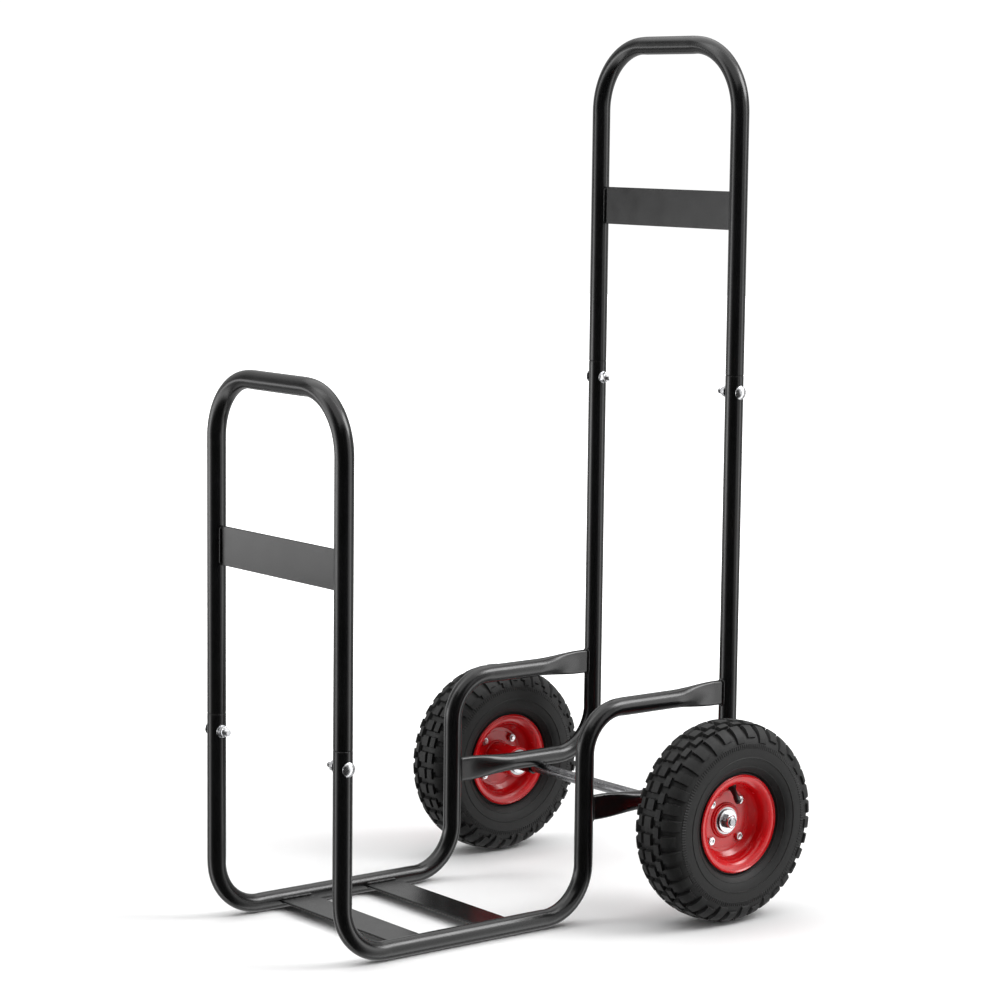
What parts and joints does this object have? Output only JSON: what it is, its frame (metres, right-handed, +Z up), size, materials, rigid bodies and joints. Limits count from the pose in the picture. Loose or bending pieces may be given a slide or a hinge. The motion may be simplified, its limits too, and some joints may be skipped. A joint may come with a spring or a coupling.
{
  "type": "firewood log rack cart",
  "caption": "Two-wheeled firewood rack of bent round tube: an open log bay, a raised rear shelf, a low front hoop, a tall push handle and air-filled wheels on red rims.",
  "frame": {"origin": "on the floor, under the middle of the rack's bounding box", "axes": "+X from the low front hoop towards the wheels and handle, +Y towards the right-hand wheel, +Z up"},
  "size_m": [0.6689, 0.5538, 1.129],
  "materials": {
    "frame_paint": "semi-gloss black powder coat",
    "zinc_fasteners": "bright zinc plating",
    "axle_steel": "zinc-plated bar",
    "rim_paint": "gloss red paint",
    "tyre_rubber": "matt moulded rubber",
    "tube_rubber": "smooth rubber",
    "valve_rubber": "smooth rubber",
    "bearing_steel": "ground steel"
  },
  "bodies": {
    "root": {"side_frame_left": "frame_paint", "side_frame_right": "frame_paint", "rear_upright_left": "frame_paint", "rear_upright_right": "frame_paint", "front_hoop": "frame_paint", "front_plate": "frame_paint", "handle_hoop": "frame_paint", "handle_plate": "frame_paint", "base_plate_front": "frame_paint", "base_plate_rear": "frame_paint", "joint_bolts": "zinc_fasteners", "joint_washers": "zinc_fasteners", "joint_nuts": "zinc_fasteners", "axle": "axle_steel", "axle_spacers": "frame_paint", "axle_washers": "zinc_fasteners", "axle_lock_nuts": "zinc_fasteners"},
    "wheel_left": {"wheel_left_tyre": "tyre_rubber", "wheel_left_inner_tube": "tube_rubber", "wheel_left_rim_outer": "rim_paint", "wheel_left_rim_inner": "rim_paint", "wheel_left_hub": "rim_paint", "wheel_left_bearings": "bearing_steel", "wheel_left_rim_bolts": "zinc_fasteners", "wheel_left_rim_nuts": "zinc_fasteners", "wheel_left_valve_stem": "valve_rubber", "wheel_left_valve_cap": "valve_rubber"},
    "wheel_right": {"wheel_right_tyre": "tyre_rubber", "wheel_right_inner_tube": "tube_rubber", "wheel_right_rim_outer": "rim_paint", "wheel_right_rim_inner": "rim_paint", "wheel_right_hub": "rim_paint", "wheel_right_bearings": "bearing_steel", "wheel_right_rim_bolts": "zinc_fasteners", "wheel_right_rim_nuts": "zinc_fasteners", "wheel_right_valve_stem": "valve_rubber", "wheel_right_valve_cap": "valve_rubber"}
  },
  "joints": [
    {"name": "wheel_left_spin", "type": "hinge", "parent": "root", "child": "wheel_left", "pos_m": [0.2045, -0.237, 0.13], "axis": [0, 1, 0], "continuous": true},
    {"name": "wheel_right_spin", "type": "hinge", "parent": "root", "child": "wheel_right", "pos_m": [0.2045, 0.237, 0.13], "axis": [0, 1, 0], "continuous": true}
  ]
}
